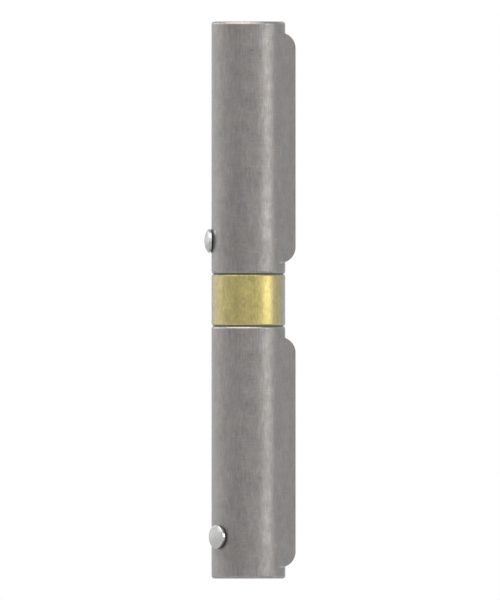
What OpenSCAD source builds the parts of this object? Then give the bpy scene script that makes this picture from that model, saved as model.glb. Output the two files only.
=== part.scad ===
// Weld-on barrel hinge with two teardrop leaves, a brass bearing ring and a steel hinge pin.
// The hinge axis is Z, and the lower leaf's end face stands on z = 0.
// The weld noses of both leaves point along +X, and the front of the hinge faces -Y.

/* [Leaves] */
// Diameter of the round barrel of both leaves
barrel_d = 20; // [18:0.5:24]
// Length of each leaf along the hinge axis
leaf_l = 68.5; // [62:0.5:90]
// Radius of the rounded rim at each end of a leaf
leaf_rim_r = 0.8; // [0.3:0.1:1.2]

/* [Weld nose] */
// How far the tip of the nose stands out past the barrel
nose_proud = 2.8; // [2:0.1:5]
// Radius of the tip of the nose, seen along the hinge axis
nose_tip_r = 0.5; // [0.3:0.1:1]
// Distance from each end of a leaf to the end of its nose
nose_inset = 3; // [2:0.1:8]
// Radius of the nose's rounded corners, seen from the front
nose_corner_r = 4.3; // [2:0.1:6]

/* [Bearing ring] */
// Height of the ring between the two leaves
ring_h = 14; // [8:0.5:20]
// Radius of the rounded rims of the ring
ring_rim_r = 0.6; // [0.3:0.1:1]

/* [Hinge pin] */
// Diameter of the hinge pin
pin_d = 12; // [10:0.5:13]
// How far the hinge pin runs on below the lower retaining pin
pin_past_cross = 4.8; // [3:0.1:6]
// Length of the hinge pin inside the upper leaf
pin_in_upper = 50; // [30:0.5:56]
// Chamfer at both ends of the hinge pin
pin_chamfer = 0.8; // [0.3:0.1:1.5]
// Play on the radius where a piece turns on the hinge pin
running_play = 0.05; // [0.02:0.01:0.1]
// Play on the radius where a pin is pressed into its hole
pressed_play = 0.01; // [0.01:0.01:0.02]
// How much deeper than the hinge pin each bore is drilled
bore_spare = 0.4; // [0.2:0.1:1]
// Full angle of the drill point at the bottom of a hole
drill_angle = 118; // [90:1:140]

/* [Retaining pins] */
// Diameter of the polished head
head_d = 6.5; // [5:0.1:8]
// Height of the crown of the head over the barrel
head_h = 1.97; // [1.4:0.01:2.5]
// Radius of the domed face of the head
head_dome_r = 5.6; // [5:0.1:8]
// Radius of the rounded edge round the domed face
head_edge_r = 0.3; // [0.2:0.05:0.7]
// Chamfer under the rim of the head
head_chamfer = 0.15; // [0.1:0.05:0.3]
// Gap between the underside of the head and the barrel
head_gap = 0.05; // [0.02:0.01:0.1]
// Diameter of the shank
shank_d = 4; // [3:0.1:5]
// Chamfer at the tip of the shank
shank_chamfer = 0.5; // [0.2:0.1:1]
// Height of the upper retaining pin over the lower end of the upper leaf
upper_pin_up = 9; // [7:0.1:20]
// Turn of the upper retaining pin from the front towards -X, in degrees
upper_pin_turn = 86; // [0:1:120]
// Height of the lower retaining pin over the lower end of the lower leaf
lower_pin_up = 11.3; // [10:0.1:20]
// Turn of the lower retaining pin from the front towards -X, in degrees
lower_pin_turn = 54; // [0:1:120]
// Depth of the groove that the upper retaining pin runs in
groove_depth = 1.5; // [1:0.1:2]
// Play between the upper retaining pin's tip and the walls of the groove
groove_play = 0.2; // [0.1:0.05:0.5]
// How far the lower retaining pin reaches into the hinge pin
lower_shank_in = 6; // [3:0.5:8]

/* [Hidden] */
$fn = 96;
// Cutters run past the face that they open by this much
past = 1;
// The nose's flats start this deep inside the two arcs that they touch, so that the forms merge
merge = 0.002;

barrel_r = barrel_d / 2;
pin_r = pin_d / 2;
shank_r = shank_d / 2;
head_r = head_d / 2;

// Heights along the hinge axis
ring_z = leaf_l;
upper_z = ring_z + ring_h;
lower_pin_z = lower_pin_up;
pin_low_z = lower_pin_z - pin_past_cross;
pin_top_z = upper_z + pin_in_upper;
upper_pin_z = upper_z + upper_pin_up;

// Section of the nose: its flats touch the barrel and the tip's arc at the same angle
tip_centre_x = barrel_r + nose_proud - nose_tip_r;
flat_angle = acos((barrel_r - nose_tip_r) / tip_centre_x);

// Groove in the hinge pin, and the reach of both shanks measured from the hinge axis
groove_r = pin_r - groove_depth;
groove_w = shank_d + 2 * groove_play;
upper_shank_from = groove_r + groove_play;
lower_shank_from = pin_r - lower_shank_in;

// A point at radius r and angle a
function at(r, a) = [r * cos(a), r * sin(a)];

// Round bar of radius r and height h whose two rims are rounded with radius rim
module round_bar(r, h, rim) {
    rotate_extrude()
    difference() {
        square([r, h]);
        translate([r - rim, h - rim]) rim_waste(rim);
        translate([r - rim, rim]) mirror([0, 1]) rim_waste(rim);
    }
}

// What is cut off a square corner to round it with radius rim
module rim_waste(rim) {
    difference() {
        square(rim + past);
        circle(rim);
    }
}

// Section of the weld nose, reaching back to the hinge axis
module nose_section() {
    polygon([
        [0, 0],
        at(barrel_r - merge, -flat_angle),
        [tip_centre_x, 0] + at(nose_tip_r - merge, -flat_angle),
        [tip_centre_x, 0] + at(nose_tip_r - merge, flat_angle),
        at(barrel_r - merge, flat_angle)
    ]);
    translate([tip_centre_x, 0]) circle(nose_tip_r);
}

// Outline of the weld nose from the front, for a leaf whose lower end is at height 0
module nose_outline() {
    reach = barrel_r + nose_proud;
    corner_x = reach - nose_corner_r;
    low = nose_inset;
    high = leaf_l - nose_inset;
    translate([0, low]) square([corner_x, high - low]);
    translate([corner_x, low + nose_corner_r])
        square([nose_corner_r, high - low - 2 * nose_corner_r]);
    for (z = [low + nose_corner_r, high - nose_corner_r])
        translate([corner_x, z]) circle(nose_corner_r);
}

// Weld nose with its corners rounded as seen from the front
module weld_nose() {
    intersection() {
        linear_extrude(leaf_l) nose_section();
        translate([0, barrel_r, 0])
            rotate([90, 0, 0])
            linear_extrude(2 * barrel_r)
            nose_outline();
    }
}

// Blind hole of radius r with a drill point at its far end, opening downwards at height 0
module drilled_hole(r, depth) {
    point_h = r / tan(drill_angle / 2);
    rotate_extrude()
        polygon([[0, -past], [r, -past], [r, depth], [0, depth + point_h]]);
}

// Places a part that points along +X at height z, turned from the front towards -X
module radially(z, turn) {
    translate([0, 0, z]) rotate([0, 0, -90 - turn]) children();
}

// Round hole of radius r from just outside the barrel in to the distance "from" off the axis
module radial_hole(r, from) {
    translate([from, 0, 0]) rotate([0, 90, 0]) cylinder(r = r, h = barrel_r + past - from);
}

// Body of a leaf before it is drilled
module leaf_blank() {
    union() {
        round_bar(barrel_r, leaf_l, leaf_rim_r);
        weld_nose();
    }
}

module lower_leaf() {
    color("#8a8784")
    difference() {
        leaf_blank();
        translate([0, 0, leaf_l]) mirror([0, 0, 1])
            drilled_hole(pin_r + pressed_play, leaf_l - pin_low_z + bore_spare);
        radially(lower_pin_z, lower_pin_turn) radial_hole(shank_r + pressed_play, 0);
    }
}

module upper_leaf() {
    color("#8a8784")
    difference() {
        translate([0, 0, upper_z]) leaf_blank();
        translate([0, 0, upper_z]) drilled_hole(pin_r + running_play, pin_in_upper + bore_spare);
        radially(upper_pin_z, upper_pin_turn) radial_hole(shank_r + pressed_play, 0);
    }
}

module bearing_ring() {
    color("#b5a566")
    translate([0, 0, ring_z])
    difference() {
        round_bar(barrel_r, ring_h, ring_rim_r);
        translate([0, 0, -past]) cylinder(r = pin_r + running_play, h = ring_h + 2 * past);
    }
}

// Half section of the hinge pin, with the groove for the upper retaining pin
module hinge_pin_section() {
    difference() {
        polygon([
            [0, pin_low_z],
            [pin_r - pin_chamfer, pin_low_z],
            [pin_r, pin_low_z + pin_chamfer],
            [pin_r, pin_top_z - pin_chamfer],
            [pin_r - pin_chamfer, pin_top_z],
            [0, pin_top_z]
        ]);
        translate([groove_r, upper_pin_z - groove_w / 2]) square([pin_r, groove_w]);
    }
}

module hinge_pin() {
    color("#9c9a98")
    difference() {
        rotate_extrude() hinge_pin_section();
        radially(lower_pin_z, lower_pin_turn)
            radial_hole(shank_r + pressed_play, lower_shank_from - pressed_play);
    }
}

// Half section of the head, with its height measured from the barrel's surface
module head_section() {
    dome_z = head_h - head_dome_r;
    edge_x = head_r - head_edge_r;
    edge_z = dome_z + sqrt(pow(head_dome_r - head_edge_r, 2) - pow(edge_x, 2));
    dome_x = edge_x * head_dome_r / (head_dome_r - head_edge_r);
    intersection() {
        translate([0, dome_z]) circle(head_dome_r);
        translate([0, edge_z]) square([dome_x, head_h]);
    }
    translate([edge_x, edge_z]) circle(head_edge_r);
    polygon([
        [0, head_gap],
        [head_r - head_chamfer, head_gap],
        [head_r, head_gap + head_chamfer],
        [head_r, edge_z],
        [0, edge_z]
    ]);
}

// Domed-head pin along +Z whose head sits on the barrel's surface at height barrel_r
module retaining_pin(from) {
    rotate_extrude() {
        translate([0, barrel_r]) head_section();
        polygon([
            [0, from],
            [shank_r - shank_chamfer, from],
            [shank_r, from + shank_chamfer],
            [shank_r, barrel_r + 2 * head_gap],
            [0, barrel_r + 2 * head_gap]
        ]);
    }
}

module lower_retaining_pin() {
    color("#d2d2d0")
    radially(lower_pin_z, lower_pin_turn) rotate([0, 90, 0]) retaining_pin(lower_shank_from);
}

module upper_retaining_pin() {
    color("#d2d2d0")
    radially(upper_pin_z, upper_pin_turn) rotate([0, 90, 0]) retaining_pin(upper_shank_from);
}

lower_leaf();
upper_leaf();
bearing_ring();
hinge_pin();
lower_retaining_pin();
upper_retaining_pin();
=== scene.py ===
import math

import bpy
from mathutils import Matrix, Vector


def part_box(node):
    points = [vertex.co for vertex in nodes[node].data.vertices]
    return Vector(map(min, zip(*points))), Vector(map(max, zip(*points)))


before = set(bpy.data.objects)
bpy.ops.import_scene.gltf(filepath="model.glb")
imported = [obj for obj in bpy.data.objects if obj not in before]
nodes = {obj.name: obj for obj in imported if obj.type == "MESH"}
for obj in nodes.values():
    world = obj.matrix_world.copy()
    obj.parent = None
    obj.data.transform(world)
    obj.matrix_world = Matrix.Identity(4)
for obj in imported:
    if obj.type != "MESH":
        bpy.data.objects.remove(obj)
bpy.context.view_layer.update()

# Millimetres in a metre: pieces are placed in metres, and materials are made in millimetres
MM = 1000

# Heights of the leaves and the ring, in metres
UPPER_LEAF_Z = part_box("upper_leaf")[0].z
LEAF_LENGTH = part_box("lower_leaf")[1].z
RING_HEIGHT = UPPER_LEAF_Z - LEAF_LENGTH

# How far each pin head is turned from the front towards -X, in degrees
LOWER_HEAD_TURN = 54
UPPER_HEAD_TURN = 86

# Radii between which a leaf's flat end face turns into its rounded rim, in millimetres
RIM_RADII = (8.7, 9.2)
# Distances from the end of a leaf between which its rounded rim turns into the barrel
RIM_HEIGHTS = (0.5, 0.9)
# Height of the painted highlight along the nose's lower end, over the lower end of its leaf
NOSE_HIGHLIGHT_HEIGHT = 3.1
# Distances along +X between which that painted highlight begins
NOSE_HIGHLIGHT_FROM = (8.2, 8.8)
# Middle of the dark mark and of the painted reflection of the head's highlight, from the lower end
# of a leaf on the hinge axis
DARK_MARK = (0.8, -9.95, 60.8)
PAINTED_REFLECTION_SPOT = (-9.13, -4.09, 11.4)

# Distances from the hinge axis between which a pin's underside, painted dark as shade, turns into
# its polished wall
SHADE_TO_WALL = (10.18, 10.2)
# Distances from the hinge axis between which the polished edge turns into the satin face
FACE_FROM = (11.0, 11.35)

# The photograph's frame: its height in metres at the hinge, and the point at its centre
PHOTO_HEIGHT = 0.1626
PHOTO_CENTRE = (0.00044, 0.0755)
# How far the camera stands from the hinge axis, in metres: without perspective any will do
CAMERA_DISTANCE = 1.0

# Distance of every lamp from the hinge's middle, in metres
LAMP_DISTANCE = 1.2
# Strength of the plain light that the surroundings give
SOFT_LIGHT = 0.35

# Width of the floor, and how far it lies under the lower leaf so that the faces don't coincide
FLOOR_SIZE = 3
FLOOR_GAP = 0.0002

# Places of the colours among the sockets of a mix node
MIX_FIRST = 6
MIX_SECOND = 7
MIX_RESULT = 2

scene = bpy.context.scene
scene.view_settings.view_transform = "Standard"


def colour(red, green, blue):
    return (red, green, blue, 1.0)


WHITE = colour(1, 1, 1)


class Maker:
    """Builds the node tree of one material. Lengths given to it are in millimetres."""

    def __init__(self, name, origin_z=0.0):
        """Heights in the material are counted from origin_z, which is in metres."""
        self.material = bpy.data.materials.new(name)
        self.material.use_nodes = True
        self.tree = self.material.node_tree
        self.shader = self.tree.nodes["Principled BSDF"]
        coords = self.add("ShaderNodeTexCoord")
        place = self.add("ShaderNodeMapping")
        place.inputs["Scale"].default_value = (MM, MM, MM)
        place.inputs["Location"].default_value = (0, 0, -MM * origin_z)
        self.tree.links.new(coords.outputs["Object"], place.inputs["Vector"])
        self.place = place.outputs["Vector"]

    def add(self, kind, **settings):
        made = self.tree.nodes.new(kind)
        for name, value in settings.items():
            setattr(made, name, value)
        return made

    def feed(self, socket, value):
        """Links an output to a socket, or sets the socket to a plain value."""
        if isinstance(value, bpy.types.NodeSocket):
            self.tree.links.new(value, socket)
        else:
            socket.default_value = value

    def math(self, operation, first, second, clamp=False):
        """Number that an operation makes of one or two numbers."""
        made = self.add("ShaderNodeMath", operation=operation, use_clamp=clamp)
        self.feed(made.inputs[0], first)
        self.feed(made.inputs[1], second)
        return made.outputs[0]

    def product(self, *values):
        """Multiplies several numbers."""
        total = values[0]
        for value in values[1:]:
            total = self.math("MULTIPLY", total, value)
        return total

    def distance(self, value, point):
        """How far a number is from another, up or down."""
        return self.math("ABSOLUTE", self.math("SUBTRACT", value, point), 0.0)

    def vector_math(self, operation, first, second=(0, 0, 0), output="Value"):
        """Number that an operation makes of one or two vectors, or the vector for output Vector."""
        made = self.add("ShaderNodeVectorMath", operation=operation)
        self.feed(made.inputs[0], first)
        self.feed(made.inputs[1], second)
        return made.outputs[output]

    def axis(self, name):
        """Distance from the origin along X, Y or Z."""
        made = self.add("ShaderNodeSeparateXYZ")
        self.feed(made.inputs[0], self.place)
        return made.outputs[name]

    def along(self, direction):
        """Distance from the hinge axis along a direction."""
        return self.vector_math("DOT_PRODUCT", self.place, direction)

    def radius(self):
        """Distance from the hinge axis in any direction."""
        flat = self.vector_math("MULTIPLY", self.place, (1, 1, 0), output="Vector")
        return self.vector_math("LENGTH", flat)

    def noise(self, size, detail=2.0, roughness=0.5, shift=0.0):
        """Noise between 0 and 1 whose features have the given size along X, Y and Z."""
        stretch = self.add("ShaderNodeMapping")
        self.feed(stretch.inputs["Vector"], self.place)
        stretch.inputs["Scale"].default_value = [1 / length for length in size]
        stretch.inputs["Location"].default_value = (shift, shift, shift)
        made = self.add("ShaderNodeTexNoise")
        made.inputs["Scale"].default_value = 1.0
        made.inputs["Detail"].default_value = detail
        made.inputs["Roughness"].default_value = roughness
        self.feed(made.inputs["Vector"], stretch.outputs["Vector"])
        return made.outputs["Fac"]

    def spread(self, value, given, wanted, smooth=False):
        """Maps one range of numbers onto another, without going past it."""
        made = self.add("ShaderNodeMapRange")
        made.interpolation_type = "SMOOTHSTEP" if smooth else "LINEAR"
        self.feed(made.inputs["Value"], value)
        self.feed(made.inputs["From Min"], given[0])
        self.feed(made.inputs["From Max"], given[1])
        self.feed(made.inputs["To Min"], wanted[0])
        self.feed(made.inputs["To Max"], wanted[1])
        return made.outputs["Result"]

    def choose(self, mask, off, on):
        """One number where a mask is 0, and another where it is 1."""
        return self.spread(mask, (0, 1), (off, on))

    def spot(self, centre, radius, ragged):
        """Mask that is 1 at a point and falls to 0 at about a radius, with a ragged edge."""
        from_centre = self.vector_math("DISTANCE", self.place, centre)
        edge = self.spread(ragged, (0.3, 0.7), (-0.35 * radius, 0.35 * radius))
        reach = self.math("ADD", from_centre, edge)
        return self.spread(reach, (0.5 * radius, radius), (1, 0), smooth=True)

    def mix(self, amount, first, second):
        """Colour between two others."""
        made = self.add("ShaderNodeMix", data_type="RGBA")
        self.feed(made.inputs["Factor"], amount)
        self.feed(made.inputs[MIX_FIRST], first)
        self.feed(made.inputs[MIX_SECOND], second)
        return made.outputs[MIX_RESULT]

    def scale_colour(self, shade, amount):
        """Multiplies a colour by a number."""
        if not isinstance(shade, bpy.types.NodeSocket):
            shade = shade[:3]
        made = self.add("ShaderNodeVectorMath", operation="SCALE")
        self.feed(made.inputs[0], shade)
        self.feed(made.inputs["Scale"], amount)
        return made.outputs[0]

    def bump(self, height, depth, under=None):
        """Bump from a height between 0 and 1 that is worth a depth in millimetres."""
        made = self.add("ShaderNodeBump")
        made.inputs["Strength"].default_value = 1.0
        made.inputs["Distance"].default_value = depth / MM
        self.feed(made.inputs["Height"], height)
        if under:
            self.feed(made.inputs["Normal"], under)
        return made.outputs["Normal"]

    def film(self, roughness, ior, edge, haze):
        """Film of oil or lacquer with a faint haze. A low edge keeps the metal's edges dull."""
        self.shader.inputs["Coat Weight"].default_value = 1.0
        self.shader.inputs["Coat Roughness"].default_value = roughness
        self.shader.inputs["Coat IOR"].default_value = ior
        self.shader.inputs["Specular Tint"].default_value = colour(edge, edge, edge)
        self.shader.inputs["Sheen Weight"].default_value = haze
        self.shader.inputs["Sheen Roughness"].default_value = 0.6

    def finish(self, base, roughness, normal=None, metallic=1.0):
        """Gives the shader its main inputs and returns the material."""
        self.feed(self.shader.inputs["Base Color"], base)
        self.feed(self.shader.inputs["Roughness"], roughness)
        self.shader.inputs["Metallic"].default_value = metallic
        if normal:
            self.feed(self.shader.inputs["Normal"], normal)
        return self.material


def leaf_steel(name, origin_z, seam_z, tone_and_painted_light):
    """Drawn steel bar, mottled, with hairlines, scratches, bare rims, painted highlights and a
    painted reflection, and painted shade in the seam.
    """
    make = Maker(name, origin_z)
    height = make.axis("Z")
    below_top = make.math("SUBTRACT", MM * LEAF_LENGTH, height)

    mottle = make.noise((5.2, 5.2, 7.5), detail=5, roughness=0.9, shift=11)
    hairlines = make.noise((0.3, 0.3, 2.6), detail=2, roughness=0.6, shift=23)
    # The tone is the bar's own level and, on the lower leaf, painted light as well
    level = make.product(
        make.spread(mottle, (0.3, 0.7), (0.73, 1.27)),
        make.spread(hairlines, (0.25, 0.75), (0.79, 1.21)),
        tone_and_painted_light,
    )

    # A few thin light scratches across the bar
    drawn = make.noise((4, 4, 0.16), detail=0, shift=71)
    scratches = make.spread(drawn, (0.69, 0.79), (0, 1))
    level = make.math("ADD", level, make.product(scratches, 0.25))

    # A dark mark near the upper end, and a painted reflection of the head's highlight beside the
    # upper leaf's head
    # On the lower leaf the painted reflection lies under the head
    dark = make.spot(DARK_MARK, 0.5, hairlines)
    bright = make.spot(PAINTED_REFLECTION_SPOT, 0.7, hairlines)
    level = make.product(level, make.choose(dark, 1, 0.7), make.choose(bright, 1, 3.0))

    # The end faces are brighter than the barrel, and their rims are bare worn metal brightened
    # further by painted highlights, the upper one unevenly where a noise places it
    rim = make.spread(make.radius(), RIM_RADII, (0, 1))
    rim_highlight_noise = make.noise((7, 7, 7), detail=1, shift=28)
    upper = make.choose(rim, 1.2, make.spread(rim_highlight_noise, (0.38, 0.62), (1.15, 2.3)))
    lower = make.choose(rim, 1.2, 1.6)
    level = make.product(
        level,
        make.spread(below_top, RIM_HEIGHTS, (upper, 1), smooth=True),
        make.spread(height, RIM_HEIGHTS, (lower, 1), smooth=True),
    )

    # The nose's lower end has a thin painted highlight where it meets the collar
    from_nose = make.distance(height, NOSE_HIGHLIGHT_HEIGHT)
    edge = make.product(
        make.spread(from_nose, (0.15, 0.35), (1, 0)),
        make.spread(make.axis("X"), NOSE_HIGHLIGHT_FROM, (0, 1)),
    )
    level = make.product(level, make.choose(edge, 1, 2.0))

    streaks = make.noise((2.4, 2.4, 5), detail=1, shift=51)
    tint = make.spread(streaks, (0.35, 0.65), (0, 1))
    base = make.mix(tint, colour(0.137, 0.124, 0.114), colour(0.130, 0.125, 0.120))
    base = make.scale_colour(base, level)

    # Painted shade in the seam by the ring, tinted brown as a painted reflection of the brass
    painted_seam_shade = make.spread(make.distance(height, seam_z), (0.1, 0.45), (1, 0))
    base = make.mix(painted_seam_shade, base, colour(0.110, 0.090, 0.008))

    # The mottles differ in gloss too, and the bare rims are glossier
    from_end = make.math("MINIMUM", height, below_top)
    near_end = make.spread(from_end, RIM_HEIGHTS, (1, 0), smooth=True)
    bare = make.product(near_end, rim)
    rough = make.spread(mottle, (0.3, 0.7), (0.46, 0.34))
    rough = make.math("SUBTRACT", rough, make.product(bare, 0.18))

    waves = make.noise((2.2, 2.2, 3.5), detail=1, shift=67)
    normal = make.bump(waves, 0.02)
    normal = make.bump(hairlines, 0.005, under=normal)
    make.film(roughness=0.52, ior=1.47, edge=0.4, haze=0.31)
    return make.finish(base, rough, normal)


def ring_brass():
    """Satin brass with a vertical grain and darker handling marks."""
    make = Maker("satin_brass", LEAF_LENGTH)
    mottle = make.noise((2.5, 2.5, 4), detail=4, roughness=0.9, shift=83)
    hairlines = make.noise((0.28, 0.28, 1.6), detail=2, roughness=0.6, shift=17)
    marks = make.noise((1.5, 1.5, 1.1), detail=2, shift=29)
    level = make.product(
        make.spread(mottle, (0.3, 0.7), (0.70, 1.30)),
        make.spread(hairlines, (0.25, 0.75), (0.72, 1.28)),
        make.spread(marks, (0.60, 0.75), (1.0, 0.76)),
    )
    shade = make.spread(level, (0.5, 1.5), (0, 1))
    base = make.mix(shade, colour(0.150, 0.124, 0.012), colour(0.391, 0.321, 0.077))

    # Both rims are painted darker towards the seams as shade, and the lower one has a painted
    # highlight above that
    height = make.axis("Z")
    below_top = make.math("SUBTRACT", MM * RING_HEIGHT, height)
    rims = make.product(
        make.spread(below_top, (0.05, 0.5), (0.4, 1)),
        make.spread(height, (0.1, 0.3), (0.3, 1)),
        make.spread(height, (0.4, 0.8), (1.4, 1)),
    )
    base = make.scale_colour(base, rims)

    rough = make.spread(mottle, (0.3, 0.7), (0.37, 0.28))
    normal = make.bump(hairlines, 0.005)
    make.film(roughness=0.34, ior=1.58, edge=0.0, haze=0.38)
    return make.finish(base, rough, normal, metallic=0.98)


def head_direction(turn):
    """Direction in which a head faces, turned from the front towards -X."""
    angle = math.radians(-90 - turn)
    return (math.cos(angle), math.sin(angle), 0)


def polished_head(name, node, turn):
    """Satin domed face in a polished edge and wall, with faint smears and a painted gradient of
    light, over a shank painted dark as shade.
    """
    low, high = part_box(node)
    make = Maker(name, (low.z + high.z) / 2)
    out = make.along(head_direction(turn))
    face = make.spread(out, FACE_FROM, (0, 1), smooth=True)
    wall = make.spread(out, SHADE_TO_WALL, (0, 1))

    # The face is painted a little brighter towards its lower edge, a painted gradient of light
    painted_light_gradient = make.spread(make.axis("Z"), (-2.5, 2.5), (0.97, 0.75))
    smears = make.noise((0.4, 0.4, 1.6), detail=2)
    level = make.product(
        make.spread(smears, (0.3, 0.7), (0.9, 1.1)),
        make.choose(face, 0.86, painted_light_gradient),
        # The underside and shank below the wall are painted nearly black as shade
        make.choose(wall, 0.06, 1.0),
    )
    rough = make.math("MAXIMUM", make.choose(face, 0.16, 0.55), make.choose(wall, 0.5, 0.1))
    return make.finish(make.scale_colour(colour(0.48, 0.48, 0.47), level), rough)


def ground_steel():
    """Ground steel with faint rings round the pin."""
    make = Maker("ground_steel")
    rings = make.noise((8, 8, 0.12), detail=2)
    level = make.spread(rings, (0.25, 0.75), (0.94, 1.06))
    base = make.scale_colour(colour(0.42, 0.42, 0.41), level)
    rough = make.spread(rings, (0.25, 0.75), (0.2, 0.3))
    return make.finish(base, rough, make.bump(rings, 0.002))


def dress(node, material):
    """Gives a CAD node its material."""
    mesh = nodes[node].data
    mesh.materials.clear()
    mesh.materials.append(material)


def make_camera():
    """Camera without perspective that looks at the front and sees what the photograph shows."""
    data = bpy.data.cameras.new("camera")
    data.type = "ORTHO"
    data.sensor_fit = "VERTICAL"
    data.ortho_scale = PHOTO_HEIGHT
    camera = bpy.data.objects.new("camera", data)
    camera.location = (PHOTO_CENTRE[0], -CAMERA_DISTANCE, PHOTO_CENTRE[1])
    camera.rotation_euler = (math.pi / 2, 0, 0)
    scene.collection.objects.link(camera)
    scene.camera = camera


def make_world():
    """White where the camera, gloss or glass sees it, and a plain soft light on the rest."""
    world = bpy.data.worlds.new("studio")
    world.use_nodes = True
    scene.world = world
    tree = world.node_tree
    background = tree.nodes["Background"]
    background.inputs["Color"].default_value = WHITE
    path = tree.nodes.new("ShaderNodeLightPath")
    seen = tree.nodes.new("ShaderNodeMath")
    seen.operation = "ADD"
    tree.links.new(path.outputs["Is Camera Ray"], seen.inputs[0])
    tree.links.new(path.outputs["Is Glossy Ray"], seen.inputs[1])
    also = tree.nodes.new("ShaderNodeMath")
    also.operation = "ADD"
    also.use_clamp = True
    tree.links.new(seen.outputs[0], also.inputs[0])
    tree.links.new(path.outputs["Is Transmission Ray"], also.inputs[1])
    level = tree.nodes.new("ShaderNodeMapRange")
    level.inputs["To Min"].default_value = SOFT_LIGHT
    level.inputs["To Max"].default_value = 1.0
    tree.links.new(also.outputs[0], level.inputs["Value"])
    tree.links.new(level.outputs["Result"], background.inputs["Strength"])


def softbox(name, azimuth, elevation, width, height, radiance):
    """Area light that looks at the hinge's middle.

    The azimuth is counted from the camera towards +X. The width and height are angles too, as the
    hinge sees them, and all four are in degrees. The radiance is how bright its surface is.
    """
    az = math.radians(azimuth)
    el = math.radians(elevation)
    across = 2 * LAMP_DISTANCE * math.tan(math.radians(width) / 2)
    up = 2 * LAMP_DISTANCE * math.tan(math.radians(height) / 2)
    data = bpy.data.lights.new(name, "AREA")
    data.shape = "RECTANGLE"
    data.size = across
    data.size_y = up
    data.energy = radiance * math.pi * across * up
    lamp = bpy.data.objects.new(name, data)
    lamp.location = (
        LAMP_DISTANCE * math.sin(az) * math.cos(el),
        -LAMP_DISTANCE * math.cos(az) * math.cos(el),
        PHOTO_CENTRE[1] + LAMP_DISTANCE * math.sin(el),
    )
    lamp.rotation_euler = (math.pi / 2 - el, 0, az)
    lamp.visible_camera = False
    scene.collection.objects.link(lamp)


def make_floor():
    """Pale floor with the object's shadow, which gloss sees as the white background."""
    bpy.ops.mesh.primitive_plane_add(size=FLOOR_SIZE, location=(0, 0, -FLOOR_GAP))
    floor = bpy.context.object
    floor.name = "floor"
    make = Maker("floor_pale")
    blotches = make.noise((60, 60, 60), detail=2)
    level = make.spread(blotches, (0.3, 0.7), (0.98, 1.02))
    base = make.scale_colour(colour(0.8, 0.8, 0.8), level)
    floor.data.materials.append(make.finish(base, 0.8, metallic=0.0))

    white = make.add("ShaderNodeEmission")
    white.inputs["Color"].default_value = WHITE
    white.inputs["Strength"].default_value = 1.0
    path = make.add("ShaderNodeLightPath")
    reflected = make.math(
        "ADD", path.outputs["Is Glossy Ray"], path.outputs["Is Transmission Ray"], clamp=True
    )
    choice = make.add("ShaderNodeMixShader")
    make.feed(choice.inputs[0], reflected)
    make.feed(choice.inputs[1], make.shader.outputs[0])
    make.feed(choice.inputs[2], white.outputs[0])
    make.feed(make.tree.nodes["Material Output"].inputs["Surface"], choice.outputs[0])


# The lower leaf's higher tone is partly painted light, making up for the lesser light that reaches
# it
dress("lower_leaf", leaf_steel("leaf_steel_lower", 0.0, MM * LEAF_LENGTH, tone_and_painted_light=1.09))
dress("upper_leaf", leaf_steel("leaf_steel_upper", UPPER_LEAF_Z, 0.0, tone_and_painted_light=1.03))
dress("bearing_ring", ring_brass())
dress("hinge_pin", ground_steel())
dress(
    "lower_retaining_pin",
    polished_head("polished_steel_lower", "lower_retaining_pin", LOWER_HEAD_TURN),
)
dress(
    "upper_retaining_pin",
    polished_head("polished_steel_upper", "upper_retaining_pin", UPPER_HEAD_TURN),
)

# Azimuth, elevation, width, height and radiance of each lamp
softbox("key_core", 62, 0, 28, 52, 2.55)
softbox("key_wide", 60, 0, 48, 52, 1.04)
softbox("front", 6, 0, 60, 60, 0.46)
softbox("left", -76, 0, 40, 60, 0.38)
softbox("back_left", -119, 0, 52, 60, 1.07)
softbox("overhead", -28, 63, 90, 62, 1.7)

make_camera()
make_world()
make_floor()
